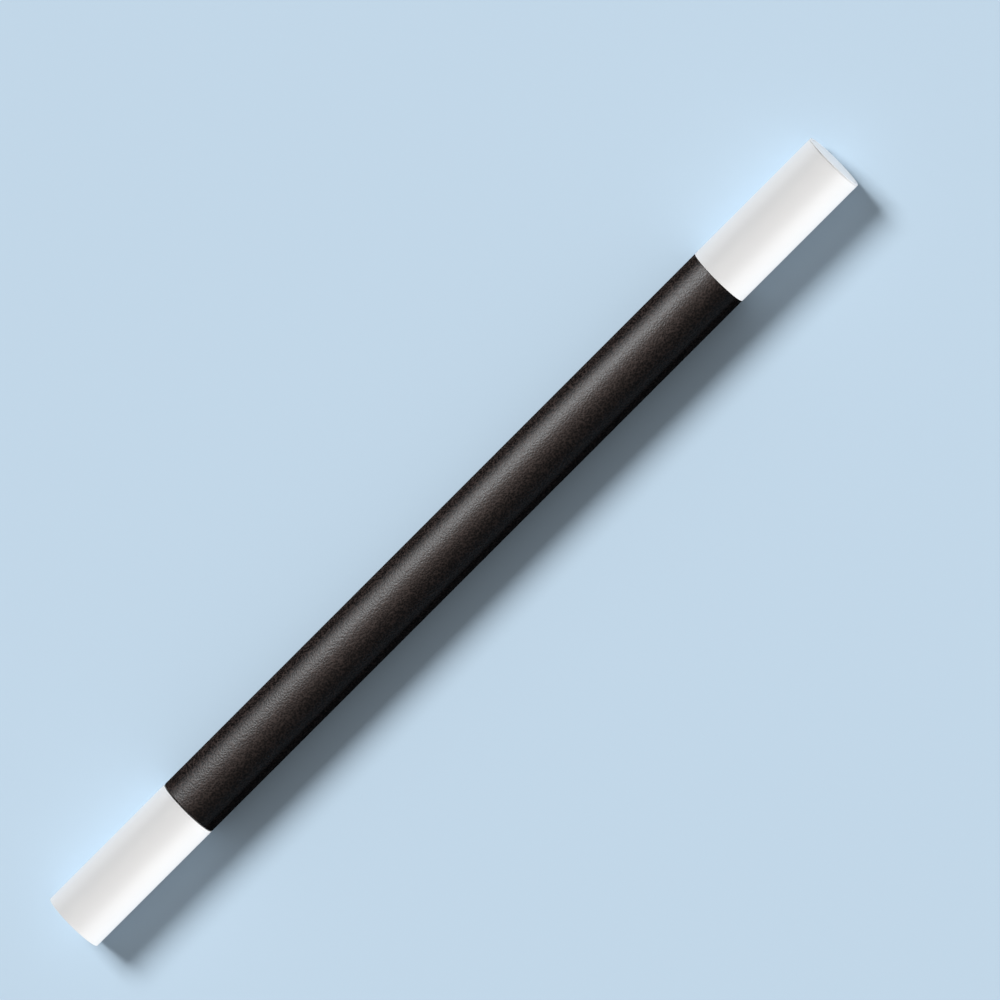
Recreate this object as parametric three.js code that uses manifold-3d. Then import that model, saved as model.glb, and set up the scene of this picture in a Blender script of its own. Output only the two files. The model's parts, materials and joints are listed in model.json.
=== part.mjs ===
// Confetti wand: a stage wand whose hollow barrel shoots confetti with a spring-driven piston.
// The rear tip is the cocking knob. Pulled back and given a quarter turn, it hooks a cross pin behind
// the lock bush. Turned back, it lets the spring drive the piston forward, which blows out the muzzle plug.
// Millimetres, +Z up. The wand lies along X on the plane z = 0, with its muzzle towards +X.
import * as THREE from "three";
import { mergeVertices } from "three/addons/utils/BufferGeometryUtils.js";
import Module from "manifold-3d";

// Outside of the wand
const wandLength = 356;
const wandDiameter = 22;
const tipLength = 54;
const sleeveWall = 1.2;
const barrelWall = 1;
const seamRound = 0.3;
const rimRound = 0.7;
const facets = 32; // sides of the tubes and what fits in them
const smallFacets = 16; // sides of the rod, pins and screws
const roundSteps = 2; // chords in each rounded edge
const cutOver = 1; // how far a cut runs past the face that it opens
const weldDistance = 1e-4; // between points that are one corner

// Clearances
const fixedGap = 0.1; // glued, pressed or seated pieces
const runningGap = 0.2; // pieces that slide or turn on each other
const knobGap = 0.3; // between the knob and the tube at rest

// Plunger
const rodDiameter = 6;
const journalStep = 0.8; // from the rod down to the journal that the piston turns on
const flatDepth = 0.8; // of the rod's flat, which keys it to the knob
const flatLength = 16;
const stroke = 60; // from rest to the locked position
const overtravel = 3.2; // past it, so that the pin clears its groove
const pinDiameter = 2.5;

// Main spring
const springLength = 130; // as fitted, at rest
const springTurns = 26;
const springWire = 1.2;
const endPitch = 1.75; // of the closed turn at each end
const springGap = 0.35; // from the wire to the barrel
const turnSteps = 10;
const wireSides = 5;
const pilotGap = 0.25; // from the spring to the pilots that centre it

// Bushes in the rear of the barrel
const guideLength = 21;
const guideFlange = 1.5;
const lockSkirtWall = 1.6;
const keeperWall = 6;
const grooveDepth = 1.2; // of the groove that holds the locked pin
const pilotLength = 4;
const tabWidth = 4;
const tabLength = 3;
const dowelDiameter = 2;
const dowelFloor = 2; // left between a dowel and the rod's bore
const dowelInset = 10; // from the rear end of the guide bush

// Bumper, in a recess of the guide bush
const bumperDepth = 2;
const bumperProud = 0.2;
const bumperInnerWall = 1.2; // between the rod's bore and the recess
const bumperOuterWall = 1.2; // round the recess

// Piston
const washerThickness = 0.8;
const pistonLand = 3.5; // on each side of the seal
const sealWidth = 3;
const sealDepth = 1.4;
const padThickness = 4;
const hubThickness = 10; // behind the counterbore, with the pilot
const counterboreMargin = 0.8;

// Screws and their washers
const pistonScrewDiameter = 2.5;
const pistonScrewGrip = 9;
const knobScrewDiameter = 3;
const knobScrewGrip = 9;
const tapRunout = 1; // of each tapped hole past its screw's end
const screwHeadRatio = 2;
const screwHeadHeight = 2;
const screwWasherThickness = 0.6;
const screwWasherMargin = 0.7;
const screwHeadRound = 1.4;
const driverSlotReach = 1.3; // length of a driver slot over the head's radius
const driverSlotWidth = 0.7;
const driverSlotDepth = 1.1;

// Knob
const knobWall = 2;
const knobFrontWall = 3;
const bossWall = 2.4;
const bossEndWall = 2.5;
const ribThickness = 1.4;
const ribPairs = 2;
const socketDepth = 21.5;

// Muzzle plug and rear cap
const capFlange = 1.5;
const capSkirtWall = 1.7;
const plugSkirt = 11;
const rearSkirt = 8;
const plugRingWire = 0.9;
const plugRingSides = 8;
const plugRingPlace = 5.5; // from the plug's face to the ring

// Radii that follow from those sizes
const outerRadius = wandDiameter / 2;
const sleeveInner = outerRadius - sleeveWall;
const barrelOuter = sleeveInner - fixedGap;
const barrelInner = barrelOuter - barrelWall;
const bushRadius = barrelInner - fixedGap;
const rodRadius = rodDiameter / 2;
const journalRadius = rodRadius - journalStep;
const pinRadius = pinDiameter / 2;
const rodBore = rodRadius + runningGap;
const hubBore = journalRadius + runningGap;
const chordShare = Math.cos(Math.PI / turnSteps);
const helixRadius = (barrelInner - springGap) * Math.cos(Math.PI / facets) - springWire / 2;
const springInner = helixRadius * chordShare - springWire / 2;
const pilotRadius = springInner - pilotGap;
const pinHalf = springInner - 2 * pilotGap;
const lockSkirtInner = bushRadius - lockSkirtWall;
const recessInner = rodBore + bumperInnerWall;
const recessOuter = bushRadius - bumperOuterWall;
const dowelRadius = dowelDiameter / 2;
const dowelEnd = rodBore + dowelFloor;
const washerInner = pilotRadius + fixedGap;
const pistonRadius = barrelInner - runningGap;
const sealFloor = pistonRadius - sealDepth;
const bossRadius = rodRadius + bossWall;
const knobInner = outerRadius - knobWall;
const capRadius = sleeveInner - fixedGap;
const pistonHead = (pistonScrewDiameter * screwHeadRatio) / 2;
const pistonWasher = pistonHead + screwWasherMargin;
const knobHead = (knobScrewDiameter * screwHeadRatio) / 2;
const knobWasher = knobHead + screwWasherMargin;

// Lengths that follow from those sizes
const halfLength = wandLength / 2;
const bodyHalf = halfLength - tipLength;
const barrelFront = halfLength - capFlange;
const barrelRear = -bodyHalf + guideFlange;
const lockSkirtLength = pinDiameter + overtravel + runningGap;
const lockRear = -bodyHalf + guideLength + fixedGap;
const keeperRear = lockRear + lockSkirtLength;
const keeperFront = keeperRear + keeperWall;
const springRear = keeperFront + washerThickness + 2 * fixedGap;
const springFront = springRear + springLength;
const pistonSeat = springFront + washerThickness + 2 * fixedGap;
const pistonRear = pistonSeat - pilotLength;
const pistonLength = pilotLength + 2 * pistonLand + sealWidth;
const rodShoulder = pistonRear - runningGap;
const rodFront = pistonRear + hubThickness + runningGap;
const lockedPin = keeperRear + grooveDepth - pinRadius - fixedGap;
const pinCentre = lockedPin + stroke;
const knobFront = -bodyHalf - knobGap;
const knobLength = halfLength - bodyHalf - knobGap;
const rodRear = knobFront - socketDepth + fixedGap;

const wasm = await Module();
wasm.setup();

// Points of an outline given as corners [x, radius, rounding], with each rounding drawn as a curve.
function outline(corners) {
  const at = (i) => new THREE.Vector2(...corners[(i + corners.length) % corners.length].slice(0, 2));
  return corners.flatMap(([, , rounding = 0], i) => {
    const corner = at(i);
    if (!rounding) return [corner];
    const start = at(i - 1).sub(corner).setLength(rounding).add(corner);
    const end = at(i + 1).sub(corner).setLength(rounding).add(corner);
    return new THREE.QuadraticBezierCurve(start, corner, end).getPoints(roundSteps);
  });
}

// The solid swept by an outline turned about the X axis. An outline off the axis closes on itself.
function turned(corners, sides = facets) {
  const points = outline(corners);
  if (corners[0][1] > 0) points.push(points[0].clone());
  if (THREE.ShapeUtils.area(points) > 0) points.reverse();
  const profile = points.map((p) => new THREE.Vector2(p.y, p.x));
  return new THREE.LatheGeometry(profile, sides, Math.PI / sides).rotateZ(-Math.PI / 2);
}

// A ring of the given radii from x = 0, with its edges rounded.
function ring(inner, outer, length, rounding = 0, sides = facets) {
  const corners = [
    [0, inner, rounding],
    [0, outer, rounding],
    [length, outer, rounding],
    [length, inner, rounding],
  ];
  return turned(corners, sides);
}

// A solid round bar from x = 0, with its rims rounded.
function bar(radius, length, rounding = 0, sides = facets) {
  const corners = [
    [0, 0],
    [0, radius, rounding],
    [length, radius, rounding],
    [length, 0],
  ];
  return turned(corners, sides);
}

function block(xLow, xHigh, yWidth, zWidth, y = 0, z = 0) {
  const made = new THREE.BoxGeometry(xHigh - xLow, yWidth, zWidth);
  return made.translate((xLow + xHigh) / 2, y, z);
}

// A round bar along Y, from yLow to yHigh.
function crossBar(radius, yLow, yHigh, x, rounding = 0) {
  const made = bar(radius, yHigh - yLow, rounding, smallFacets);
  return made.rotateZ(Math.PI / 2).translate(x, yLow, 0);
}

function toSolid(geometry) {
  const bare = geometry.clone();
  bare.deleteAttribute("normal");
  bare.deleteAttribute("uv");
  const merged = mergeVertices(bare, weldDistance);
  return new wasm.Manifold(
    new wasm.Mesh({
      numProp: 3,
      vertProperties: merged.attributes.position.array,
      triVerts: new Uint32Array(merged.index.array),
    }),
  );
}

function toGeometry(solid) {
  const mesh = solid.getMesh();
  return new THREE.BufferGeometry()
    .setAttribute("position", new THREE.BufferAttribute(mesh.vertProperties, 3))
    .setIndex(new THREE.BufferAttribute(mesh.triVerts, 1));
}

const joined = (first, ...others) =>
  toGeometry(others.reduce((solid, other) => solid.add(toSolid(other)), toSolid(first)));
const cut = (first, ...others) =>
  toGeometry(others.reduce((solid, other) => solid.subtract(toSolid(other)), toSolid(first)));
const shared = (first, second) => toGeometry(toSolid(first).intersect(toSolid(second)));

// Barrel: the plain bore that guides the piston and holds the confetti
function barrelTube() {
  const length = barrelFront - barrelRear;
  const tube = turned([
    [0, barrelInner],
    [0, barrelOuter],
    [length, barrelOuter],
    [length, barrelInner, seamRound],
  ]);
  const hole = crossBar(dowelRadius + fixedGap, -outerRadius, outerRadius, dowelInset - guideFlange);
  return cut(tube, hole);
}

function bodySleeve() {
  const length = 2 * bodyHalf;
  return turned([
    [0, sleeveInner],
    [0, outerRadius, seamRound],
    [length, outerRadius, seamRound],
    [length, sleeveInner],
  ]);
}

function frontTip() {
  return turned([
    [0, sleeveInner],
    [0, outerRadius, seamRound],
    [tipLength, outerRadius, rimRound],
    [tipLength, sleeveInner, seamRound],
  ]);
}

// Guide bush: carries the rod, closes the barrel's rear end and holds the bumper
function guideBush() {
  const body = turned([
    [0, rodBore, seamRound],
    [0, recessInner],
    [bumperDepth, recessInner],
    [bumperDepth, recessOuter],
    [0, recessOuter],
    [0, barrelOuter],
    [guideFlange, barrelOuter],
    [guideFlange, bushRadius],
    [guideLength, bushRadius],
    [guideLength, rodBore, seamRound],
  ]);
  const notchRear = guideLength - tabLength - fixedGap;
  const notch = block(notchRear, guideLength + cutOver, tabWidth + 2 * fixedGap, 2 * outerRadius);
  const notches = cut(notch, bar(lockSkirtInner - fixedGap, guideLength + 2 * cutOver));
  const hole = crossBar(dowelRadius + fixedGap, dowelEnd - fixedGap, outerRadius, dowelInset);
  return cut(body, notches, hole, hole.clone().rotateX(Math.PI));
}

// Lock bush: a keeper wall with a slot for the pin, and a groove across it where the turned pin sits
function lockBush() {
  const keeperEnd = lockSkirtLength + keeperWall;
  const length = keeperEnd + pilotLength;
  const body = turned([
    [0, lockSkirtInner],
    [0, bushRadius],
    [keeperEnd, bushRadius],
    [keeperEnd, pilotRadius],
    [length, pilotRadius, 2 * seamRound],
    [length, rodBore],
    [lockSkirtLength, rodBore],
    [lockSkirtLength, lockSkirtInner],
  ]);
  const slotReach = 2 * (pinHalf + pilotGap + runningGap);
  const slotWidth = pinDiameter + 2 * runningGap;
  const slot = block(lockSkirtLength - cutOver, length + cutOver, slotReach, slotWidth);
  const grooveFloor = lockSkirtLength + grooveDepth;
  const groove = block(lockSkirtLength - cutOver, grooveFloor, pinDiameter + 2 * fixedGap, slotReach);
  const tabRing = ring(lockSkirtInner, bushRadius, tabLength + lockSkirtLength / 2);
  const tabSpan = block(-tabLength, lockSkirtLength, tabWidth, 2 * outerRadius);
  const tabs = shared(tabRing.translate(-tabLength, 0, 0), tabSpan);
  return cut(joined(body, tabs), slot, groove);
}

function bumperRing() {
  const length = bumperDepth - fixedGap + bumperProud;
  return ring(recessInner + fixedGap, recessOuter - fixedGap, length, seamRound);
}

const springWasher = () => ring(washerInner, bushRadius, washerThickness);
const screwWasher = (inner, outer) => ring(inner, outer, screwWasherThickness, 0, smallFacets);

// Axial place of the spring's wire, which closes up over the turn at each end.
function springX(turn) {
  const openPitch = (springLength - springWire - 2 * endPitch) / (springTurns - 2);
  const openTurns = THREE.MathUtils.clamp(turn - 1, 0, springTurns - 2);
  return springWire / 2 + endPitch * (turn - openTurns) + openPitch * openTurns;
}

// Main spring: one tube that follows a helix, closed by a fan at each end
function mainSpring() {
  const steps = springTurns * turnSteps;
  const centres = [];
  const positions = [];
  const faces = [];
  for (let i = 0; i <= steps; i++) {
    const turn = i / turnSteps;
    const radial = new THREE.Vector3(0, Math.cos(2 * Math.PI * turn), Math.sin(2 * Math.PI * turn));
    const centre = radial.clone().multiplyScalar(helixRadius).setX(springX(turn));
    centres.push(centre);
    for (let k = 0; k < wireSides; k++) {
      const angle = (2 * Math.PI * k) / wireSides;
      const point = centre.clone().addScaledVector(radial, (Math.cos(angle) * springWire) / 2);
      point.x += (Math.sin(angle) * springWire) / 2;
      positions.push(...point.toArray());
    }
  }
  for (let i = 0; i < steps; i++)
    for (let k = 0; k < wireSides; k++) {
      const next = (k + 1) % wireSides;
      const [a, b, c, d] = [k, next, wireSides + next, wireSides + k].map((n) => n + i * wireSides);
      faces.push(a, c, b, a, d, c);
    }
  const last = steps * wireSides;
  for (let k = 1; k < wireSides - 1; k++) faces.push(0, k, k + 1, last, last + k + 1, last + k);
  const apart = centres.flatMap((p, i) => centres.slice(i + turnSteps / 2).map((q) => p.distanceTo(q)));
  const leastGap = Math.min(...apart) - springWire;
  console.log("main spring: least gap between turns " + leastGap.toFixed(2) + " mm");
  return new THREE.BufferGeometry()
    .setAttribute("position", new THREE.Float32BufferAttribute(positions, 3))
    .setIndex(faces);
}

// Piston: a moulded cup with a pilot for the spring, a seal groove and a counterbore for its screw
function piston() {
  const grooveRear = pilotLength + pistonLand;
  const grooveFront = grooveRear + sealWidth;
  const counterbore = pistonWasher + counterboreMargin;
  return turned([
    [0, hubBore],
    [0, pilotRadius, 2 * seamRound],
    [pilotLength, pilotRadius],
    [pilotLength, pistonRadius, seamRound],
    [grooveRear, pistonRadius],
    [grooveRear, sealFloor],
    [grooveFront, sealFloor],
    [grooveFront, pistonRadius],
    [pistonLength, pistonRadius, seamRound],
    [pistonLength, counterbore],
    [hubThickness, counterbore],
    [hubThickness, hubBore],
  ]);
}

const pistonSeal = () =>
  ring(sealFloor + fixedGap, barrelInner - fixedGap, sealWidth - 2 * fixedGap, 2 * seamRound);

const pistonPad = () => bar(pistonRadius - runningGap, padThickness, 2 * seamRound);

// Pan-head screw with its head's seat at x = 0 and its shank along -X
function panScrew(diameter, length, head) {
  const corners = [
    [-length, 0],
    [-length, diameter / 2, seamRound],
    [0, diameter / 2],
    [0, head],
    [screwHeadHeight, head, screwHeadRound],
    [screwHeadHeight, 0],
  ];
  const slotBottom = screwHeadHeight - driverSlotDepth;
  const slot = (y, z) => block(slotBottom, screwHeadHeight + cutOver, y, z);
  const reach = driverSlotReach * head;
  return cut(turned(corners, smallFacets), slot(reach, driverSlotWidth), slot(driverSlotWidth, reach));
}

// Plunger rod, from its socket in the knob to the journal that the piston turns on
function plungerRod() {
  const length = rodFront - rodRear;
  const shoulder = rodShoulder - rodRear;
  const knobHole = knobScrewDiameter / 2 + fixedGap;
  const pistonHole = pistonScrewDiameter / 2 + fixedGap;
  const pistonHoleEnd = length - pistonScrewGrip - tapRunout;
  const corners = [
    [knobScrewGrip + tapRunout, 0],
    [knobScrewGrip + tapRunout, knobHole],
    [0, knobHole],
    [0, rodRadius, 2 * seamRound],
    [shoulder, rodRadius, 2 * seamRound],
    [shoulder, journalRadius],
    [length, journalRadius],
    [length, pistonHole],
    [pistonHoleEnd, pistonHole],
    [pistonHoleEnd, 0],
  ];
  const flat = block(-cutOver, flatLength, rodDiameter, rodDiameter, 0, 2 * rodRadius - flatDepth);
  const pinHole = crossBar(pinRadius + fixedGap, -rodDiameter, rodDiameter, pinCentre - rodRear);
  return cut(turned(corners, smallFacets), flat, pinHole);
}

// Knob: the rear tip, a shell with a ribbed boss that holds the rod
function rearTip() {
  const bossLength = socketDepth + bossEndWall;
  const capSeat = knobLength - capFlange;
  const shell = turned([
    [0, 0],
    [0, outerRadius, seamRound],
    [knobLength, outerRadius, rimRound],
    [knobLength, sleeveInner, seamRound],
    [capSeat, sleeveInner],
    [capSeat, knobInner],
    [knobFrontWall, knobInner],
    [knobFrontWall, bossRadius],
    [bossLength, bossRadius],
    [bossLength, 0],
  ]);
  const ribs = Array.from({ length: ribPairs }, (_, i) => {
    const pair = block(knobFrontWall / 2, socketDepth, ribThickness, 2 * knobInner + knobWall);
    return pair.rotateX((Math.PI * (i + 0.5)) / ribPairs);
  });
  const socket = bar(rodRadius + fixedGap, socketDepth + cutOver, 0, smallFacets);
  const keyPlace = 2 * rodRadius - flatDepth + fixedGap;
  const keyRear = socketDepth - flatLength - fixedGap;
  const key = block(keyRear, socketDepth + cutOver, rodDiameter, rodDiameter, 0, keyPlace);
  const screwHole = bar(knobScrewDiameter / 2 + fixedGap, bossLength + cutOver, 0, smallFacets);
  const holes = [cut(socket.translate(-cutOver, 0, 0), key), screwHole];
  return cut(joined(shell, ...ribs), ...holes).rotateZ(Math.PI);
}

// A cap with its outer face at x = 0, a hollow skirt on the +X side and any groove round the skirt
function endCap(skirtRadius, skirtLength, groove = []) {
  const end = capFlange + skirtLength;
  return turned([
    [0, 0],
    [0, capRadius, seamRound],
    [capFlange, capRadius],
    [capFlange, skirtRadius],
    ...groove,
    [end, skirtRadius, seamRound],
    [end, skirtRadius - capSkirtWall],
    [capFlange, skirtRadius - capSkirtWall],
    [capFlange, 0],
  ]);
}

function muzzlePlug() {
  const skirtRadius = barrelInner - runningGap;
  const grooveFloor = barrelInner - 2 * fixedGap - plugRingWire;
  const grooveRear = plugRingPlace - plugRingWire / 2 - fixedGap;
  const grooveFront = plugRingPlace + plugRingWire / 2 + fixedGap;
  const groove = [
    [grooveRear, skirtRadius],
    [grooveRear, grooveFloor],
    [grooveFront, grooveFloor],
    [grooveFront, skirtRadius],
  ];
  return endCap(skirtRadius, plugSkirt, groove).rotateY(Math.PI);
}

const rearCap = () => endCap(knobInner - fixedGap, rearSkirt);

// Rubber ring of round section that holds the muzzle plug in the barrel
function plugRing() {
  const centre = barrelInner - fixedGap - plugRingWire / 2;
  const corners = Array.from({ length: plugRingSides }, (_, i) => {
    const angle = (2 * Math.PI * i) / plugRingSides;
    return [(Math.cos(angle) * plugRingWire) / 2, centre + (Math.sin(angle) * plugRingWire) / 2];
  });
  return turned(corners);
}

const finish = (color, roughness, metalness = 0) =>
  new THREE.MeshStandardMaterial({ color, roughness, metalness });
const blackSatin = finish(0x161211, 0.45);
const whiteGloss = finish(0xf2f2f3, 0.3);
const whiteMoulding = finish(0xe6e4df, 0.5);
const blackMoulding = finish(0x1c1c1e, 0.5);
const blackRubber = finish(0x0e0e0f, 0.85);
const greyFoam = finish(0x3c3c40, 0.95);
const feltWool = finish(0xb9b2a4, 0.95);
const springSteel = finish(0x9a9da1, 0.35, 1);
const zincSteel = finish(0xb8bbc0, 0.3, 1);
const aluminium = finish(0xc6c8cc, 0.3, 1);

// A named piece, standing at x along the wand's axis.
function piece(name, geometry, material, x) {
  const mesh = new THREE.Mesh(geometry, material);
  mesh.name = name;
  mesh.position.x = x;
  return mesh;
}

function barrelGroup() {
  const group = new THREE.Group();
  const dowel = () => crossBar(dowelRadius, dowelEnd, barrelOuter, 0, seamRound);
  const dowelX = -bodyHalf + dowelInset;
  group.add(
    piece("barrel_tube", barrelTube(), whiteMoulding, barrelRear),
    piece("body_sleeve", bodySleeve(), blackSatin, -bodyHalf),
    piece("front_tip", frontTip(), whiteGloss, bodyHalf),
    piece("guide_bush", guideBush(), blackMoulding, -bodyHalf),
    piece("guide_dowel_left", dowel(), zincSteel, dowelX),
    piece("guide_dowel_right", dowel().rotateX(Math.PI), zincSteel, dowelX),
    piece("lock_bush", lockBush(), blackMoulding, lockRear),
    piece("bumper_ring", bumperRing(), blackRubber, -bodyHalf - bumperProud),
    piece("spring_washer_rear", springWasher(), zincSteel, keeperFront + fixedGap),
    piece("main_spring", mainSpring(), springSteel, springRear),
  );
  return group;
}

function pistonGroup() {
  const group = new THREE.Group();
  group.add(
    piece("spring_washer_front", springWasher(), zincSteel, springFront + fixedGap),
    piece("piston", piston(), whiteMoulding, pistonRear),
    piece("piston_seal", pistonSeal(), feltWool, pistonSeat + pistonLand + fixedGap),
    piece("piston_pad", pistonPad(), greyFoam, pistonRear + pistonLength + fixedGap),
  );
  return group;
}

function plungerGroup() {
  const group = new THREE.Group();
  const pin = crossBar(pinRadius, -pinHalf, pinHalf, 0, seamRound);
  const pistonScrew = panScrew(pistonScrewDiameter, pistonScrewGrip, pistonHead);
  const pistonScrewWasher = screwWasher(pistonScrewDiameter / 2 + fixedGap, pistonWasher);
  const pistonWasherX = rodFront + fixedGap;
  const pistonScrewX = pistonWasherX + screwWasherThickness + fixedGap;
  const knobScrew = panScrew(knobScrewDiameter, knobScrewGrip + bossEndWall, knobHead);
  const knobScrewWasher = screwWasher(knobScrewDiameter / 2 + fixedGap, knobWasher);
  const knobWasherX = knobFront - socketDepth - bossEndWall - fixedGap - screwWasherThickness;
  group.add(
    piece("plunger_rod", plungerRod(), aluminium, rodRear),
    piece("lock_pin", pin, zincSteel, pinCentre),
    piece("piston_washer", pistonScrewWasher, zincSteel, pistonWasherX),
    piece("piston_screw", pistonScrew, zincSteel, pistonScrewX),
    piece("rear_tip", rearTip(), whiteGloss, knobFront),
    piece("knob_washer", knobScrewWasher, zincSteel, knobWasherX),
    piece("knob_screw", knobScrew.rotateY(Math.PI), zincSteel, knobWasherX - fixedGap),
    piece("rear_cap", rearCap(), whiteGloss, -halfLength),
  );
  return group;
}

function plugGroup() {
  const group = new THREE.Group();
  group.add(
    piece("muzzle_plug", muzzlePlug(), whiteGloss, halfLength),
    piece("plug_ring", plugRing(), blackRubber, halfLength - plugRingPlace),
  );
  return group;
}

const wand = new THREE.Group();
wand.add(barrelGroup(), pistonGroup(), plungerGroup(), plugGroup());
wand.position.z = outerRadius * Math.cos(Math.PI / facets); // the lowest facet lies on z = 0

export default wand;
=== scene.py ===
# Confetti wand. The rear tip is a knob that cocks a spring, which drives a piston up the barrel.
# Lengths are in millimetres. X runs along the wand from its middle, and the muzzle is at +X.
import json
import math

import bmesh
import bpy
from mathutils import Matrix, Vector


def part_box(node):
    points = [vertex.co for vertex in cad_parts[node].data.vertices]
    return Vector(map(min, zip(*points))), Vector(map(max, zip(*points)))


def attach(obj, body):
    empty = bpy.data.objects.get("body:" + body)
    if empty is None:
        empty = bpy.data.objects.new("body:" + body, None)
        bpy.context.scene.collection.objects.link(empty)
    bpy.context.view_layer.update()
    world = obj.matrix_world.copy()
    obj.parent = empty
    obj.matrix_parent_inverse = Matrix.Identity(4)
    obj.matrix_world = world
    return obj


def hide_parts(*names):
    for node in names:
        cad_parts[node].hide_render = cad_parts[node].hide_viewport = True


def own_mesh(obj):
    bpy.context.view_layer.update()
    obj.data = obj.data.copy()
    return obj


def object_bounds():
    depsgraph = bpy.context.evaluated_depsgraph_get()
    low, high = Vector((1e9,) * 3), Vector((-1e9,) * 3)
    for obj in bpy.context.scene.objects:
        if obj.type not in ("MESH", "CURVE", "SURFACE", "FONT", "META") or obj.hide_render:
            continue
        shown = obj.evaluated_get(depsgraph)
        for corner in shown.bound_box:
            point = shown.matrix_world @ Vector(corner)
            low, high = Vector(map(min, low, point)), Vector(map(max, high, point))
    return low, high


mm = 0.001
sameSpot = 0.001  # points closer than this are taken as one
beyond = 1.0  # how far a cutting shape reaches beyond the piece

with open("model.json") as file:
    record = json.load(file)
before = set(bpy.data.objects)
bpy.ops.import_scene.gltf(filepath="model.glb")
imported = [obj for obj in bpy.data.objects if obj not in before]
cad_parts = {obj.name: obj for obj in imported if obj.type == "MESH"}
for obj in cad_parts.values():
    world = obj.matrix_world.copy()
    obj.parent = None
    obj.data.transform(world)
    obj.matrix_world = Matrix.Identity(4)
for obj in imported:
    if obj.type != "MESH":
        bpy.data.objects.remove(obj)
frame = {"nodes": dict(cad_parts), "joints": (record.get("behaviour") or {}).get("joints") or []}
cadLow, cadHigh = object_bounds()
axisHeight = (cadLow.z + cadHigh.z) / 2 / mm
axisPoint = (0, 0, axisHeight * mm)
print("frame loaded:", len(frame["nodes"]), "nodes")


def span(node):  # rear end, front end and radius of a round node
    low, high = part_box(node)
    return low.x / mm, high.x / mm, (high.y - low.y) / 2 / mm


def middle(node):  # its place along the wand
    low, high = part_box(node)
    return (low.x + high.x) / 2 / mm


sleeveRadius = span("body_sleeve")[2]
barrelRadius = span("barrel_tube")[2]
rodRadius = span("plunger_rod")[2]
barrelWall = 1.0
fit = {"fixed": 0.1, "running": 0.2}  # gaps between neighbours
sleeveBore = barrelRadius + fit["fixed"]
barrelBore = barrelRadius - barrelWall


# Modelling helpers


def pick(piece):
    bpy.ops.object.select_all(action="DESELECT")
    piece.select_set(True)
    bpy.context.view_layer.objects.active = piece


def settle(piece):  # its place goes into its mesh
    pick(piece)
    bpy.ops.object.transform_apply(location=True, rotation=True, scale=True)


def edit(select="DESELECT"):
    bpy.ops.object.mode_set(mode="EDIT")
    bpy.ops.mesh.select_all(action=select)


# Selects the points that wanted says yes to, from their x, y and height over the axis
def selectPoints(piece, wanted):
    mesh = bmesh.from_edit_mesh(piece.data)
    for point in mesh.verts:
        x, y, z = point.co / mm
        point.select_set(wanted(x, y, z - axisHeight))
    mesh.select_flush(True)
    bmesh.update_edit_mesh(piece.data)


def mergePoints():
    bpy.ops.mesh.select_all(action="SELECT")
    bpy.ops.mesh.remove_doubles(threshold=sameSpot * mm)


def closeShape():  # one skin, with its faces outwards
    mergePoints()
    bpy.ops.mesh.normals_make_consistent(inside=False)
    bpy.ops.object.mode_set(mode="OBJECT")


def spinRound(sides):
    bpy.ops.mesh.select_all(action="SELECT")
    bpy.ops.mesh.spin(steps=sides, angle=2 * math.pi, center=axisPoint, axis=(1, 0, 0))
    closeShape()


def roundCorners(piece, corners, segments):
    for rounding in sorted({corner[2] for corner in corners if len(corner) > 2}):
        spots = [corner[:2] for corner in corners if corner[2:] == (rounding,)]

        def isCorner(x, y, z):
            return any(math.dist((x, z), spot) < sameSpot for spot in spots)

        selectPoints(piece, isCorner)
        bpy.ops.mesh.bevel(affect="VERTICES", offset=rounding * mm, segments=segments)


# Draws a half section from corners (x, radius, rounding) and spins it round the axis
def turned(corners, sides=96, segments=4):
    bpy.ops.object.select_all(action="DESELECT")
    x, radius = corners[0][:2]
    bpy.ops.mesh.primitive_plane_add(size=mm, location=(x * mm, 0, (axisHeight + radius) * mm))
    piece = bpy.context.object
    settle(piece)
    edit("SELECT")
    bpy.ops.mesh.merge(type="CENTER")
    closing = corners[:1] if radius > 0 else []  # a section off the axis is a closed ring
    for start, end in zip(corners, corners[1:] + closing):
        step = ((end[0] - start[0]) * mm, 0, (end[1] - start[1]) * mm)
        bpy.ops.mesh.extrude_region_move(TRANSFORM_OT_translate={"value": step})
    mergePoints()
    roundCorners(piece, corners, segments)
    spinRound(sides)
    return piece


def roundBar(rear, front, radius):
    return turned([(rear, 0), (rear, radius), (front, radius), (front, 0)])


def block(xLow, xHigh, yWidth, zWidth, y=0, z=0):
    bpy.ops.object.select_all(action="DESELECT")
    place = Vector(((xLow + xHigh) / 2, y, axisHeight + z)) * mm
    bpy.ops.mesh.primitive_cube_add(size=1, location=place)
    piece = bpy.context.object
    piece.scale = Vector((xHigh - xLow, yWidth, zWidth)) * mm
    settle(piece)
    return piece


acrossTurn = (math.pi / 2, 0, 0)


# A round pin across the wand, along Y, with its two rims rounded
def crossPin(x, yLow, yHigh, radius, rim=0, sides=48):
    bpy.ops.object.select_all(action="DESELECT")
    place = Vector((x, (yLow + yHigh) / 2, axisHeight)) * mm
    depth = (yHigh - yLow) * mm
    bpy.ops.mesh.primitive_cylinder_add(
        vertices=sides, radius=radius * mm, depth=depth, location=place, rotation=acrossTurn
    )
    piece = bpy.context.object
    settle(piece)
    if rim:
        edit()
        bpy.ops.mesh.select_mode(type="FACE")
        mesh = bmesh.from_edit_mesh(piece.data)
        for face in mesh.faces:
            face.select_set(len(face.verts) == sides)
        bmesh.update_edit_mesh(piece.data)
        bpy.ops.mesh.region_to_loop()
        bpy.ops.mesh.bevel(offset=rim * mm, segments=4)
        bpy.ops.mesh.select_mode(type="VERT")
        bpy.ops.object.mode_set(mode="OBJECT")
    return piece


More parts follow.
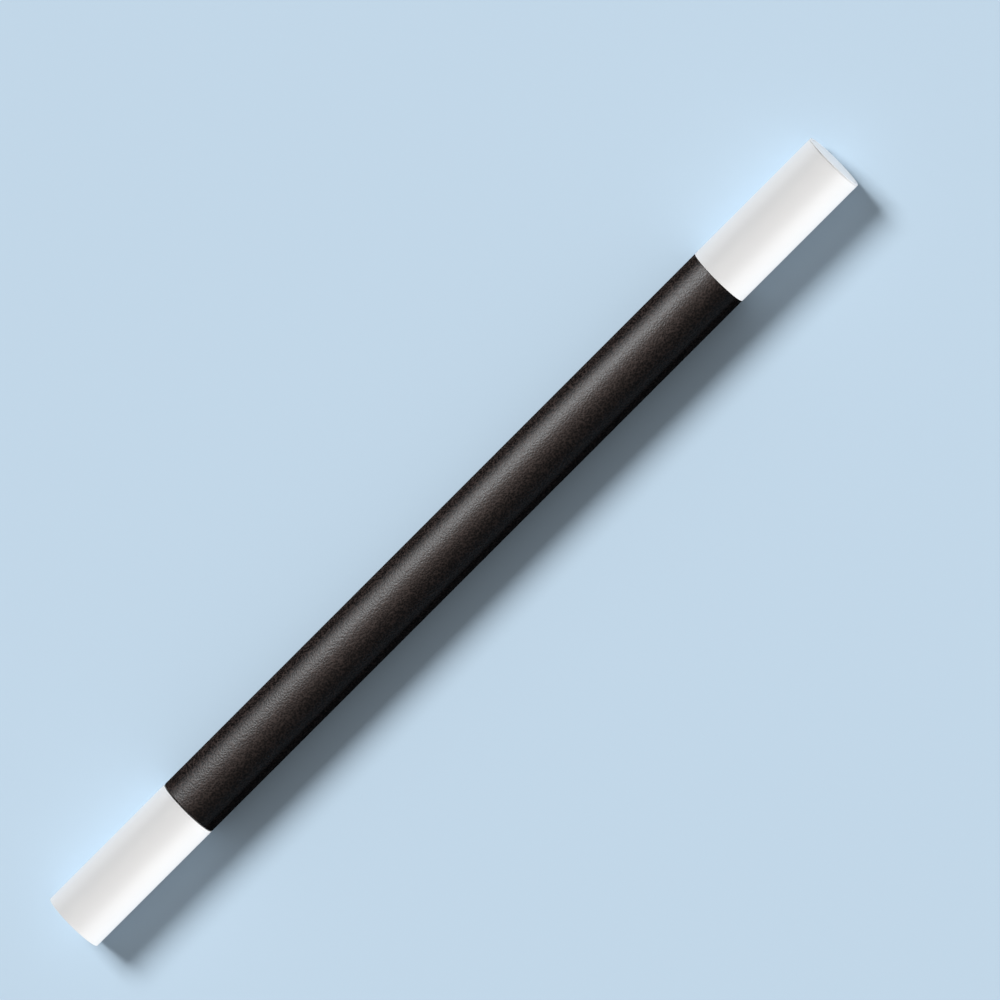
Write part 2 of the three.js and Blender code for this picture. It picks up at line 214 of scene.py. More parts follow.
def combine(piece, others, operation):
    for other in others:
        change = piece.modifiers.new("change", "BOOLEAN")
        change.object = other
        change.operation = operation
        change.solver = "EXACT"
        pick(piece)
        bpy.ops.object.modifier_apply(modifier="change")
        bpy.data.objects.remove(other)
    edit()
    mergePoints()
    bpy.ops.object.mode_set(mode="OBJECT")
    return piece


def cut(piece, *tools):
    return combine(piece, tools, "DIFFERENCE")


def join(piece, *others):
    return combine(piece, others, "UNION")


# Shader helpers


class Wire:  # a node's output, which can be used in sums
    def __init__(self, tree, socket):
        self.tree = tree
        self.socket = socket

    def maths(self, operation, first, second):
        step = self.tree.nodes.new("ShaderNodeMath")
        step.operation = operation
        feed(self.tree, step.inputs[0], first)
        feed(self.tree, step.inputs[1], second)
        return Wire(self.tree, step.outputs[0])

    def __add__(self, other):
        return self.maths("ADD", self, other)

    def __radd__(self, other):
        return self.maths("ADD", other, self)

    def __mul__(self, other):
        return self.maths("MULTIPLY", self, other)

    def __rmul__(self, other):
        return self.maths("MULTIPLY", other, self)


def feed(tree, socket, value):
    if isinstance(value, Wire):
        tree.links.new(value.socket, socket)
    elif hasattr(socket.default_value, "__len__") and len(value) < len(socket.default_value):
        socket.default_value = (*value, 1)
    else:
        socket.default_value = value


class Finish:  # one material: fixed socket values are set by name, patterns by wires
    def __init__(self, name, **fixed):
        self.material = bpy.data.materials.new(name)
        self.material.use_nodes = True
        self.tree = self.material.node_tree
        self.shader = self.tree.nodes["Principled BSDF"]
        self.place = self.node("ShaderNodeTexCoord", output="Object")
        for words, value in fixed.items():
            self.set(words, value)

    def set(self, name, value):
        feed(self.tree, self.shader.inputs[name.replace("_", " ")], value)

    def node(self, kind, settings=None, inputs=None, output=0):
        made = self.tree.nodes.new(kind)
        for name, value in (settings or {}).items():
            if name == "stops":
                self.setStops(made.color_ramp, value)
            else:
                setattr(made, name, value)
        for name, value in (inputs or {}).items():
            feed(self.tree, made.inputs[name], value)
        return Wire(self.tree, made.outputs[output])

    def setStops(self, ramp, stops):
        while len(ramp.elements) < len(stops):
            ramp.elements.new(1)
        for element, (position, level) in zip(ramp.elements, stops):
            element.position = position
            element.color = (level, level, level, 1)

    def noise(self, size, detail=2.0, stretch=(1, 1, 1)):  # size of one blotch
        where = self.node("ShaderNodeMapping", inputs={"Vector": self.place, "Scale": stretch})
        inputs = {"Vector": where, "Scale": 1 / (size * mm), "Detail": detail}
        return self.node("ShaderNodeTexNoise", inputs=inputs)

    def cells(self, size):
        inputs = {"Vector": self.place, "Scale": 1 / (size * mm)}
        return self.node("ShaderNodeTexVoronoi", inputs=inputs)

    def ramp(self, value, *stops):
        return self.node("ShaderNodeValToRGB", {"stops": stops}, {"Fac": value})

    def mix(self, share, first, second):
        inputs = {0: share, 6: first, 7: second}  # its factor and its two colours
        return self.node("ShaderNodeMix", {"data_type": "RGBA"}, inputs, output=2)

    def bump(self, height, depth):
        inputs = {"Height": height, "Distance": depth * mm, "Strength": 1.0}
        return self.node("ShaderNodeBump", inputs=inputs)

    # Hides the gloss where the surface turns away from the eye, as a deep grain does
    def dullFlanks(self, colour, start, end, most):
        away = self.node("ShaderNodeLayerWeight", output="Facing")
        share = self.ramp(away, (start, 0.0), (end, most))
        dull = self.node("ShaderNodeBsdfDiffuse", inputs={"Color": colour})
        glossy = Wire(self.tree, self.shader.outputs[0])
        both = self.node("ShaderNodeMixShader", inputs={0: share, 1: glossy, 2: dull})
        self.tree.links.new(both.socket, self.tree.nodes["Material Output"].inputs["Surface"])


def wear(piece, finish):
    piece.data.materials.clear()
    piece.data.materials.append(finish.material)


# Gives a finished piece its name, body and material, and hides its frame node
def dress(piece, name, node, body, finish, smooth=35):
    pick(piece)
    bpy.ops.object.shade_smooth_by_angle(angle=math.radians(smooth))
    piece.name = name
    piece.data.name = name
    wear(piece, finish)
    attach(piece, body)
    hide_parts(node)


# Finishes

grainedBlackLook = {
    "dark": (0.0010, 0.0009, 0.0009),
    "light": (0.0245, 0.0183, 0.0163),
    "pebble": 0.7,
    "pebbleShare": 0.6,
    "speck": 0.42,
    "speckShare": 0.6,
    "darkBelow": 0.50,
    "lightAbove": 0.80,
    "relief": 0.13,
    "roughLow": 0.45,
    "roughHigh": 0.52,
    "shine": 0.44,
    "dullFrom": 0.06,
    "dullTo": 0.43,
    "dullMost": 0.97,
}


def grainedBlack():  # thin leather-grained cover of the tube
    look = grainedBlackLook
    finish = Finish("grained_black", Specular_IOR_Level=look["shine"])
    pebbles = finish.cells(look["pebble"])
    specks = finish.noise(look["speck"])
    grain = pebbles * look["pebbleShare"] + specks * look["speckShare"]
    tone = finish.ramp(grain, (look["darkBelow"], 0.0), (look["lightAbove"], 1.0))
    colour = finish.mix(tone, look["dark"], look["light"])
    finish.set("Base_Color", colour)
    finish.set("Roughness", look["roughLow"] + tone * (look["roughHigh"] - look["roughLow"]))
    finish.set("Normal", finish.bump(grain, look["relief"]))
    finish.dullFlanks(colour, look["dullFrom"], look["dullTo"], look["dullMost"])
    return finish


satinWhiteLook = {
    "clean": (0.805, 0.805, 0.805),
    "toned": (0.79, 0.79, 0.795),
    "cloud": 22,
    "ripple": 2.4,
    "relief": 0.004,
    "rough": 0.54,
    "roughSpread": 0.06,
    "shine": 0.35,
}


def satinWhite():  # moulded white tips
    look = satinWhiteLook
    finish = Finish("satin_white", Specular_IOR_Level=look["shine"])
    clouds = finish.noise(look["cloud"])
    ripples = finish.noise(look["ripple"], detail=1)
    finish.set("Base_Color", finish.mix(clouds, look["clean"], look["toned"]))
    finish.set("Roughness", look["rough"] + clouds * look["roughSpread"])
    finish.set("Normal", finish.bump(ripples, look["relief"]))
    return finish


whiteMouldingLook = {
    "clean": (0.72, 0.70, 0.66),
    "toned": (0.66, 0.64, 0.60),
    "flow": 6,
    "flowStretch": (0.15, 1, 1),
    "skin": 0.6,
    "relief": 0.01,
    "rough": 0.42,
    "roughSpread": 0.12,
}


def whiteMoulding():  # barrel and piston, with long flow marks
    look = whiteMouldingLook
    finish = Finish("white_moulding")
    flow = finish.noise(look["flow"], stretch=look["flowStretch"])
    skin = finish.noise(look["skin"])
    finish.set("Base_Color", finish.mix(flow, look["clean"], look["toned"]))
    finish.set("Roughness", look["rough"] + skin * look["roughSpread"])
    finish.set("Normal", finish.bump(skin, look["relief"]))
    return finish


blackMouldingLook = {
    "clean": (0.016, 0.016, 0.018),
    "toned": (0.030, 0.030, 0.032),
    "fleck": 0.9,
    "relief": 0.015,
    "rough": 0.40,
    "roughSpread": 0.2,
}


def blackMoulding():  # bushes of filled nylon
    look = blackMouldingLook
    finish = Finish("black_moulding")
    flecks = finish.noise(look["fleck"], detail=4)
    finish.set("Base_Color", finish.mix(flecks, look["clean"], look["toned"]))
    finish.set("Roughness", look["rough"] + flecks * look["roughSpread"])
    finish.set("Normal", finish.bump(flecks, look["relief"]))
    return finish


blackRubberLook = {
    "clean": (0.010, 0.010, 0.011),
    "dusted": (0.035, 0.035, 0.036),
    "dust": 1.6,
    "dustFrom": 0.45,
    "dustFull": 0.75,
    "skin": 0.35,
    "relief": 0.02,
    "rough": 0.72,
    "roughSpread": 0.15,
}


def blackRubber():  # bumper and plug ring, with a little mould powder
    look = blackRubberLook
    finish = Finish("black_rubber")
    patches = finish.noise(look["dust"], detail=4)
    dust = finish.ramp(patches, (look["dustFrom"], 0.0), (look["dustFull"], 1.0))
    skin = finish.noise(look["skin"])
    finish.set("Base_Color", finish.mix(dust, look["clean"], look["dusted"]))
    finish.set("Roughness", look["rough"] + dust * look["roughSpread"])
    finish.set("Normal", finish.bump(skin, look["relief"]))
    return finish


# The hollow colour is painted shade in the open cells' hollows, and the wall colour is the foam's
# own grey
greyFoamLook = {
    "hollow": (0.020, 0.020, 0.023),
    "wall": (0.075, 0.075, 0.085),
    "cell": 0.7,
    "paintedShadeBelow": 0.15,
    "wallAbove": 0.55,
    "relief": 0.25,
    "rough": 0.95,
}


def greyFoam():  # open cells of the piston's pad
    look = greyFoamLook
    finish = Finish("grey_foam", Roughness=look["rough"])
    cells = finish.cells(look["cell"])
    wallsOverPaintedShade = finish.ramp(cells, (look["paintedShadeBelow"], 0.0), (look["wallAbove"], 1.0))
    # Painted shade: the cell hollows take the darker hollow colour, and the cell walls keep the
    # foam's grey
    finish.set("Base_Color", finish.mix(wallsOverPaintedShade, look["hollow"], look["wall"]))
    finish.set("Normal", finish.bump(wallsOverPaintedShade, look["relief"]))
    return finish


feltWoolLook = {
    "shade": (0.30, 0.28, 0.24),
    "wool": (0.46, 0.43, 0.37),
    "fibre": 0.35,
    "stretch": (2.2, 1, 1),
    "relief": 0.12,
    "rough": 0.95,
    "sheen": 0.3,
}


def feltWool():  # piston seal, pressed fibres that run round the ring
    look = feltWoolLook
    finish = Finish("felt_wool", Roughness=look["rough"], Sheen_Weight=look["sheen"])
    fibres = finish.noise(look["fibre"], detail=5, stretch=look["stretch"])
    finish.set("Base_Color", finish.mix(fibres, look["shade"], look["wool"]))
    finish.set("Normal", finish.bump(fibres, look["relief"]))
    return finish


springSteelLook = {
    "bright": (0.50, 0.51, 0.53),
    "dull": (0.33, 0.33, 0.35),
    "streak": 0.5,
    "stretch": (1, 1, 1),
    "relief": 0.004,
    "rough": 0.24,
    "roughSpread": 0.15,
}
zincSteelLook = {
    "bright": (0.70, 0.71, 0.74),
    "dull": (0.58, 0.60, 0.64),
    "streak": 0.8,
    "stretch": (1, 1, 1),
    "relief": 0.003,
    "rough": 0.22,
    "roughSpread": 0.15,
}
drawnAluminiumLook = {
    "bright": (0.78, 0.79, 0.80),
    "dull": (0.66, 0.67, 0.69),
    "streak": 0.25,
    "stretch": (0.02, 1, 1),
    "relief": 0.004,
    "rough": 0.24,
    "roughSpread": 0.15,
}


# A bare metal, whose colour and polish change a little in streaks
def metal(name, look):
    finish = Finish(name, Metallic=1.0)
    streaks = finish.noise(look["streak"], detail=3, stretch=look["stretch"])
    finish.set("Base_Color", finish.mix(streaks, look["bright"], look["dull"]))
    finish.set("Roughness", look["rough"] + streaks * look["roughSpread"])
    finish.set("Normal", finish.bump(streaks, look["relief"]))
    return finish


sleeveFinish = grainedBlack()
tipFinish = satinWhite()
mouldingFinish = whiteMoulding()
bushFinish = blackMoulding()
rubberFinish = blackRubber()
foamFinish = greyFoam()
feltFinish = feltWool()
springFinish = metal("spring_steel", springSteelLook)
zincFinish = metal("zinc_steel", zincSteelLook)
rodFinish = metal("drawn_aluminium", drawnAluminiumLook)
print("finishes made")


# Outer tube and muzzle tip

sleeveCut = {"sides": 160, "edge": 0.25}


def bodySleeve():
    rear, front, radius = span("body_sleeve")
    edge = sleeveCut["edge"]
    corners = [(rear, sleeveBore), (rear, radius, edge), (front, radius, edge), (front, sleeveBore)]
    piece = turned(corners, sleeveCut["sides"])
    dress(piece, "grained_sleeve", "body_sleeve", "barrel", sleeveFinish)


frontTipCut = {
    "sides": 160,
    "seam": 0.2,
    "rim": 0.15,
    "mouth": 0.3,
    "line": 0.37,
    "lineWidth": 0.32,
    "lineDepth": 0.38,
}


def frontTip():
    rear, front, radius = span("front_tip")
    size = frontTipCut
    line = front - size["line"]
    corners = [
        (rear, sleeveBore),
        (rear, radius, size["seam"]),
        (line - size["lineWidth"] / 2, radius),
        (line, radius - size["lineDepth"]),
        (line + size["lineWidth"] / 2, radius),
        (front, radius, size["rim"]),
        (front, sleeveBore, size["mouth"]),
    ]
    piece = turned(corners, size["sides"])
    dress(piece, "muzzle_tip", "front_tip", "barrel", tipFinish)


# Barrel, with the cross hole for the dowels

barrelCut = {"sides": 128, "mouth": 0.3, "edge": 0.1}
dowel = {"radius": 1.0, "rim": 0.25}
dowelX = middle("guide_dowel_left")  # one cross hole takes both dowels


def barrelTube():
    rear, front, radius = span("barrel_tube")
    corners = [
        (rear, barrelBore),
        (rear, radius, barrelCut["edge"]),
        (front, radius, barrelCut["edge"]),
        (front, barrelBore, barrelCut["mouth"]),
    ]
    end = radius + beyond
    hole = crossPin(dowelX, -end, end, dowel["radius"] + fit["fixed"])
    piece = cut(turned(corners, barrelCut["sides"]), hole)
    dress(piece, "barrel", "barrel_tube", "barrel", mouldingFinish)


# Guide bush: carries the rod, and holds the rubber bumper in a groove round its rear face

bushCut = {
    "flange": 1.5,
    "recessDepth": 2.0,
    "recessInner": 4.4,
    "recessOuter": 7.4,
    "edge": 0.25,
    "tabWidth": 4.0,
    "tabDepth": 3.0,
    "skirtBore": 7.0,
}
bushRadius = barrelBore - fit["fixed"]
rodBore = rodRadius + fit["running"]


def guideBush():
    rear, front, flangeRadius = span("guide_bush")
    edge = bushCut["edge"]
    recessEnd = rear + bushCut["recessDepth"]
    flangeEnd = rear + bushCut["flange"]
    corners = [
        (rear, rodBore, edge),
        (rear, bushCut["recessInner"], edge),
        (recessEnd, bushCut["recessInner"]),
        (recessEnd, bushCut["recessOuter"]),
        (rear, bushCut["recessOuter"], edge),
        (rear, flangeRadius, edge),
        (flangeEnd, flangeRadius, edge),
        (flangeEnd, bushRadius),
        (front, bushRadius, edge),
        (front, rodBore, edge),
    ]
    piece = turned(corners)
    width = bushCut["tabWidth"] + 2 * fit["fixed"]
    notchRear = front - bushCut["tabDepth"] - fit["fixed"]
    notches = block(notchRear, front + beyond, width, 2 * sleeveRadius)
    coreRadius = bushCut["skirtBore"] - fit["fixed"]
    cut(notches, roundBar(notchRear - beyond, front + 2 * beyond, coreRadius))
    low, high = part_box("guide_dowel_left")
    inner = min(abs(low.y), abs(high.y)) / mm - fit["fixed"]
    radius = dowel["radius"] + fit["fixed"]
    left = crossPin(dowelX, inner, sleeveRadius, radius)
    right = crossPin(dowelX, -sleeveRadius, -inner, radius)
    cut(piece, notches, left, right)
    dress(piece, "guide", "guide_bush", "barrel", bushFinish)


def guideDowels():
    for side in ("left", "right"):
        node = "guide_dowel_" + side
        low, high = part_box(node)
        ends = (max(low.y / mm, -barrelRadius), min(high.y / mm, barrelRadius))
        piece = crossPin(dowelX, *ends, dowel["radius"], dowel["rim"])
        dress(piece, "dowel_" + side, node, "barrel", zincFinish)


# Lock bush: the pin on the rod passes its slot, and sits in its groove after a quarter turn

lockCut = {
    "keeper": 6.0,
    "pilot": 6.42,
    "pilotLength": 4.0,
    "pilotEdge": 0.6,
    "edge": 0.2,
    "slotWidth": 2.9,
    "slotReach": 6.6,
    "grooveWidth": 2.7,
    "grooveDepth": 1.2,
}


def lockBush():
    rear, front, _ = span("lock_bush")
    skirtRear = rear + bushCut["tabDepth"]
    keeperFront = front - lockCut["pilotLength"]
    keeperRear = keeperFront - lockCut["keeper"]
    edge = lockCut["edge"]
    skirtBore = bushCut["skirtBore"]
    corners = [
        (rear, skirtBore, edge),
        (rear, bushRadius, edge),
        (keeperFront, bushRadius, edge),
        (keeperFront, lockCut["pilot"]),
        (front, lockCut["pilot"], lockCut["pilotEdge"]),
        (front, rodBore, edge),
        (keeperRear, rodBore),
        (keeperRear, skirtBore),
    ]
    side = (bushCut["tabWidth"] + sleeveRadius) / 2
    width = 2 * sleeveRadius
    gaps = [block(rear - beyond, skirtRear, sleeveRadius, width, y) for y in (-side, side)]
    slotLength = 2 * lockCut["slotReach"]
    slot = block(keeperRear - beyond, front + beyond, slotLength, lockCut["slotWidth"])
    grooveFloor = keeperRear + lockCut["grooveDepth"]
    groove = block(keeperRear - beyond, grooveFloor, lockCut["grooveWidth"], slotLength)
    piece = cut(turned(corners), *gaps, slot, groove)
    dress(piece, "lock", "lock_bush", "barrel", bushFinish)


# A plain ring whose four edges are rounded
def ring(node, bore, edge, sides=96):
    rear, front, radius = span(node)
    corners = [(rear, bore, edge), (rear, radius, edge), (front, radius, edge), (front, bore, edge)]
    return turned(corners, sides)


bumperCut = {"bore": 4.5, "edge": 0.45}


def bumperRing():
    piece = ring("bumper_ring", bumperCut["bore"], bumperCut["edge"])
    dress(piece, "bumper", "bumper_ring", "barrel", rubberFinish)


seatCut = {"bore": 6.6, "edge": 0.12}


def springSeats():
    for side, body in (("rear", "barrel"), ("front", "piston_head")):
        node = "spring_washer_" + side
        piece = ring(node, seatCut["bore"], seatCut["edge"])
        dress(piece, "spring_seat_" + side, node, body, zincFinish)


# Main spring: open turns between two closed turns, with its ends ground flat

springWind = {
    "wire": 1.2,
    "turns": 26,
    "endPitch": 1.5,
    "ground": 0.35,
    "steps": 40,
    "wireSides": 5,
}


def springX(turn, rear, front):  # place along the axis of the wire's middle
    wind = springWind
    start = rear + wind["wire"] / 2 - wind["ground"]
    end = front - wind["wire"] / 2 + wind["ground"]
    openPitch = (end - start - 2 * wind["endPitch"]) / (wind["turns"] - 2)
    openTurns = min(max(turn - 1, 0), wind["turns"] - 2)
    return start + wind["endPitch"] * (turn - openTurns) + openPitch * openTurns


def mainSpring():
    wind = springWind
    rear, front, outer = span("main_spring")
    radius = outer - wind["wire"] / 2
    path = bpy.data.curves.new("main_spring_path", "CURVE")
    path.dimensions = "3D"
    path.bevel_depth = wind["wire"] / 2 * mm
    path.bevel_resolution = wind["wireSides"]
    path.use_fill_caps = True
    line = path.splines.new("POLY")
    count = wind["turns"] * wind["steps"]
    line.points.add(count)
    for i in range(count + 1):
        turn = i / wind["steps"]
        angle = 2 * math.pi * turn
        y = radius * math.cos(angle)
        z = radius * math.sin(angle) + axisHeight
        line.points[i].co = (springX(turn, rear, front) * mm, y * mm, z * mm, 1)
    piece = bpy.data.objects.new("main_spring_wire", path)
    bpy.context.collection.objects.link(piece)
    pick(piece)
    bpy.ops.object.convert(target="MESH")
    piece = bpy.context.object
    edit()
    closeShape()
    width = 3 * outer
    groundRear = block(rear - wind["wire"], rear, width, width)
    groundFront = block(front, front + wind["wire"], width, width)
    cut(piece, groundRear, groundFront)
    dress(piece, "spring", "main_spring", "barrel", springFinish)
    slide = next(joint for joint in frame["joints"] if joint["name"] == "plunger_slide")
    travel = max(abs(limit) for limit in slide["range_m"])
    keep = 1 - travel / ((front - rear) * mm)
    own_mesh(piece)


# Piston with its felt seal and foam pad

pistonCut = {
    "hubBore": 2.4,
    "pilot": 6.42,
    "pilotLength": 4.0,
    "pilotEdge": 0.75,
    "land": 3.5,
    "sealWidth": 3.0,
    "sealFloor": 7.0,
    "counterbore": 3.9,
    "hub": 10.0,
    "edge": 0.25,
}


def piston():
    rear, front, radius = span("piston")
    size = pistonCut
    edge = size["edge"]
    seat = rear + size["pilotLength"]
    grooveRear = seat + size["land"]
    grooveFront = grooveRear + size["sealWidth"]
    corners = [
        (rear, size["hubBore"], edge),
        (rear, size["pilot"], size["pilotEdge"]),
        (seat, size["pilot"]),
        (seat, radius, edge),
        (grooveRear, radius, edge),
        (grooveRear, size["sealFloor"]),
        (grooveFront, size["sealFloor"]),
        (grooveFront, radius, edge),
        (front, radius, edge),
        (front, size["counterbore"], edge),
        (rear + size["hub"], size["counterbore"]),
        (rear + size["hub"], size["hubBore"], edge),
    ]
    piece = turned(corners)
    dress(piece, "piston_body", "piston", "piston_head", mouldingFinish)


sealCut = {"edge": 0.5}


def pistonSeal():
    piece = ring("piston_seal", pistonCut["sealFloor"] + fit["fixed"], sealCut["edge"])
    dress(piece, "felt_seal", "piston_seal", "piston_head", feltFinish)


padCut = {"edge": 0.9, "edgeSteps": 6, "crown": 0.3, "rings": 6}


def pistonPad():
    rear, front, radius = span("piston_pad")
    edge, crown = padCut["edge"], padCut["crown"]
    corners = [(rear, 0), (rear, radius, edge), (front - crown, radius, edge)]
    for i in reversed(range(padCut["rings"])):
        out = i / padCut["rings"]
        corners.append((front - crown * out ** 2, radius * out))
    piece = turned(corners, segments=padCut["edgeSteps"])
    dress(piece, "foam_pad", "piston_pad", "piston_head", foamFinish, smooth=60)


# Plunger rod with its flat, cross pin and the screws at its ends

rodCut = {
    "sides": 64,
    "journal": 2.2,
    "journalEdge": 0.2,
    "shoulderToFront": 10.4,
    "edge": 0.4,
    "knobHole": 1.6,
    "pistonHole": 1.35,
    "holeDepth": 10.0,
    "flat": 0.8,
    "flatLength": 16.0,
    "pin": 1.25,
    "pinRim": 0.3,
}


def plungerRod():
    rear, front, radius = span("plunger_rod")
    size = rodCut
    shoulder = front - size["shoulderToFront"]
    corners = [
        (rear + size["holeDepth"], 0),
        (rear + size["holeDepth"], size["knobHole"]),
        (rear, size["knobHole"]),
        (rear, radius, size["edge"]),
        (shoulder, radius, size["edge"]),
        (shoulder, size["journal"]),
        (front, size["journal"], size["journalEdge"]),
        (front, size["pistonHole"]),
        (front - size["holeDepth"], size["pistonHole"]),
        (front - size["holeDepth"], 0),
    ]
    width = 2 * radius
    flatEnd = rear + size["flatLength"]
    flat = block(rear - beyond, flatEnd, width, width, z=width - size["flat"])
    hole = crossPin(middle("lock_pin"), -width, width, size["pin"] + fit["fixed"] / 2)
    piece = cut(turned(corners, size["sides"]), flat, hole)
    dress(piece, "rod", "plunger_rod", "plunger", rodFinish)


def lockPin():
    low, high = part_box("lock_pin")
    ends = (low.y / mm, high.y / mm)
    piece = crossPin(middle("lock_pin"), *ends, rodCut["pin"], rodCut["pinRim"])
    dress(piece, "cross_pin", "lock_pin", "plunger", zincFinish)


washerCut = {"pistonHole": 1.4, "knobHole": 1.65, "edge": 0.12, "sides": 64}


def screwWashers():
    for side in ("piston", "knob"):
        node = side + "_washer"
        piece = ring(node, washerCut[side + "Hole"], washerCut["edge"], washerCut["sides"])
        dress(piece, side + "_screw_washer", node, "plunger", zincFinish)


# Pan-head screws with a cross recess. The way is from the point to the head, along the wand.

screwCut = {
    "piston": {"shank": 1.22, "way": 1},
    "knob": {"shank": 1.46, "way": -1},
    "sides": 64,
    "head": 2.0,
    "dome": 1.3,
    "domeSteps": 8,
    "point": 0.5,
    "pitch": 0.5,
    "threadDepth": 0.2,
    "neck": 0.6,
    "recessWidth": 0.7,
    "recessDepth": 1.1,
    "recessReach": 1.25,
}


def panScrew(side):
    node = side + "_screw"
    rear, front, radius = span(node)
    size = screwCut
    way, shank = size[side]["way"], size[side]["shank"]
    top, tip = (front, rear) if way > 0 else (rear, front)
    seat = top - way * size["head"]
    root = shank - size["threadDepth"]
    start = tip + way * size["point"]
    pitch = way * size["pitch"]
    count = int((abs(seat - start) - size["neck"]) / size["pitch"])
    corners = [(tip, 0), (tip, root - size["threadDepth"])]
    for i in range(count):
        x = start + pitch * i
        corners += [(x, root), (x + pitch / 2, shank)]
    corners += [(start + pitch * count, root), (seat, root), (seat, radius)]
    corners += [(top, radius, size["dome"]), (top, 0)]
    piece = turned(corners, size["sides"], size["domeSteps"])
    ends = sorted((top - way * size["recessDepth"], top + way * beyond))
    length = size["recessReach"] * radius
    width = size["recessWidth"]
    cut(piece, block(*ends, length, width), block(*ends, width, length))
    dress(piece, side + "_pan_screw", node, "plunger", zincFinish)


# Knob: the rear tip, a shell with a ribbed boss for the rod

knobCut = {
    "sides": 160,
    "wall": 2.0,
    "frontWall": 3.0,
    "boss": 5.4,
    "bossLength": 24.0,
    "seam": 0.2,
    "rim": 0.2,
    "mouth": 0.3,
    "capSeat": 1.5,
    "socket": 3.05,
    "socketDepth": 21.5,
    "screwHole": 1.6,
    "rib": 1.4,
    "ribTurns": (45, 135),
    "ribRoot": 0.5,
    "fillet": 0.4,
}


def rearTip():
    rear, front, radius = span("rear_tip")
    size = knobCut
    bore = radius - size["wall"]
    capSeat = rear + size["capSeat"]
    bossEnd = front - size["bossLength"]
    socketEnd = front - size["socketDepth"]
    wallRear = front - size["frontWall"]
    corners = [
        (front, size["socket"], size["fillet"]),
        (front, radius, size["seam"]),
        (rear, radius, size["rim"]),
        (rear, sleeveBore, size["mouth"]),
        (capSeat, sleeveBore),
        (capSeat, bore, size["mouth"]),
        (wallRear, bore, size["fillet"]),
        (wallRear, size["boss"], size["fillet"]),
        (bossEnd, size["boss"], size["fillet"]),
        (bossEnd, size["screwHole"]),
        (socketEnd, size["screwHole"]),
        (socketEnd, size["socket"]),
    ]
    piece = turned(corners, size["sides"])
    ribs = []
    for degrees in size["ribTurns"]:
        ribs.append(block(socketEnd, wallRear + beyond, size["rib"], 2 * bore + size["wall"]))
        edit("SELECT")
        turn = math.radians(degrees)
        bpy.ops.transform.rotate(value=turn, orient_axis="X", center_override=axisPoint)
        bpy.ops.object.mode_set(mode="OBJECT")
    hollow = roundBar(socketEnd - beyond, front, size["boss"] - size["ribRoot"])
    join(piece, cut(join(*ribs), hollow))
    dress(piece, "knob", "rear_tip", "plunger", tipFinish)


# Rear cap and muzzle plug: a flat disc with a hollow skirt

capCut = {"sides": 128, "flange": 1.5, "skirtWall": 1.7, "edge": 0.3, "floorFillet": 0.4}


def capCorners(face, way, skirtRadius, skirtEnd, groove=()):
    radius = sleeveBore - fit["fixed"]
    flangeEnd = face + way * capCut["flange"]
    inner = skirtRadius - capCut["skirtWall"]
    edge = capCut["edge"]
    return [
        (face, 0),
        (face, radius, edge),
        (flangeEnd, radius),
        (flangeEnd, skirtRadius),
        *groove,
        (skirtEnd, skirtRadius, edge),
        (skirtEnd, inner, edge),
        (flangeEnd, inner, capCut["floorFillet"]),
        (flangeEnd, 0),
    ]


def rearCap():
    rear, front, _ = span("rear_cap")
    skirtRadius = sleeveRadius - knobCut["wall"] - fit["fixed"]
    piece = turned(capCorners(rear, 1, skirtRadius, front), capCut["sides"])
    dress(piece, "knob_cap", "rear_cap", "plunger", tipFinish)


plugCut = {"ringWire": 0.9, "ringGap": 0.1, "ringSides": 128, "wireSides": 20}


def muzzlePlug():
    rear, front, _ = span("muzzle_plug")
    ringRear, ringFront, ringRadius = span("plug_ring")
    skirtRadius = barrelBore - fit["running"]
    gap = plugCut["ringGap"]
    bottom = ringRadius - plugCut["ringWire"] - gap
    grooveRear, grooveFront = ringRear - gap, ringFront + gap
    groove = [
        (grooveFront, skirtRadius),
        (grooveFront, bottom),
        (grooveRear, bottom),
        (grooveRear, skirtRadius),
    ]
    piece = turned(capCorners(front, -1, skirtRadius, rear, groove), capCut["sides"])
    dress(piece, "plug", "muzzle_plug", "plug", tipFinish)


def plugRing():
    rear, front, radius = span("plug_ring")
    wire = (front - rear) / 2
    place = Vector(((rear + front) / 2, 0, axisHeight + radius - wire)) * mm
    bpy.ops.object.select_all(action="DESELECT")
    bpy.ops.mesh.primitive_circle_add(
        vertices=plugCut["wireSides"], radius=wire * mm, location=place, rotation=acrossTurn
    )
    piece = bpy.context.object
    settle(piece)
    edit()
    spinRound(plugCut["ringSides"])
    dress(piece, "plug_o_ring", "plug_ring", "plug", rubberFinish)


bodySleeve()
frontTip()
barrelTube()
print("barrel made")
guideBush()
guideDowels()
lockBush()
bumperRing()
springSeats()
mainSpring()
print("guide, lock and spring made")
piston()
pistonSeal()
pistonPad()
print("piston made")
plungerRod()
lockPin()
screwWashers()
panScrew("piston")
panScrew("knob")
rearTip()
rearCap()
print("plunger and knob made")
muzzlePlug()
plugRing()
print("plug made")


# Floor, with a far wall of the same tone behind it

studio = {  # its sizes are in metres
    "floorTone": (0.455, 0.575, 0.685),
    "floorSize": 70.0,
    "wallTone": (0.54, 0.69, 0.82),
    "wallRadius": 34.0,
    "wallHeight": 2.6,
    "wallSides": 96,
}


def paleFloor():
    bpy.ops.object.select_all(action="DESELECT")
    bpy.ops.mesh.primitive_plane_add(size=studio["floorSize"])
    piece = bpy.context.object
    piece.name = "floor"
    finish = Finish("pale_floor", Roughness=1.0, Specular_IOR_Level=0.0)
    finish.set("Base_Color", studio["floorTone"])
    wear(piece, finish)


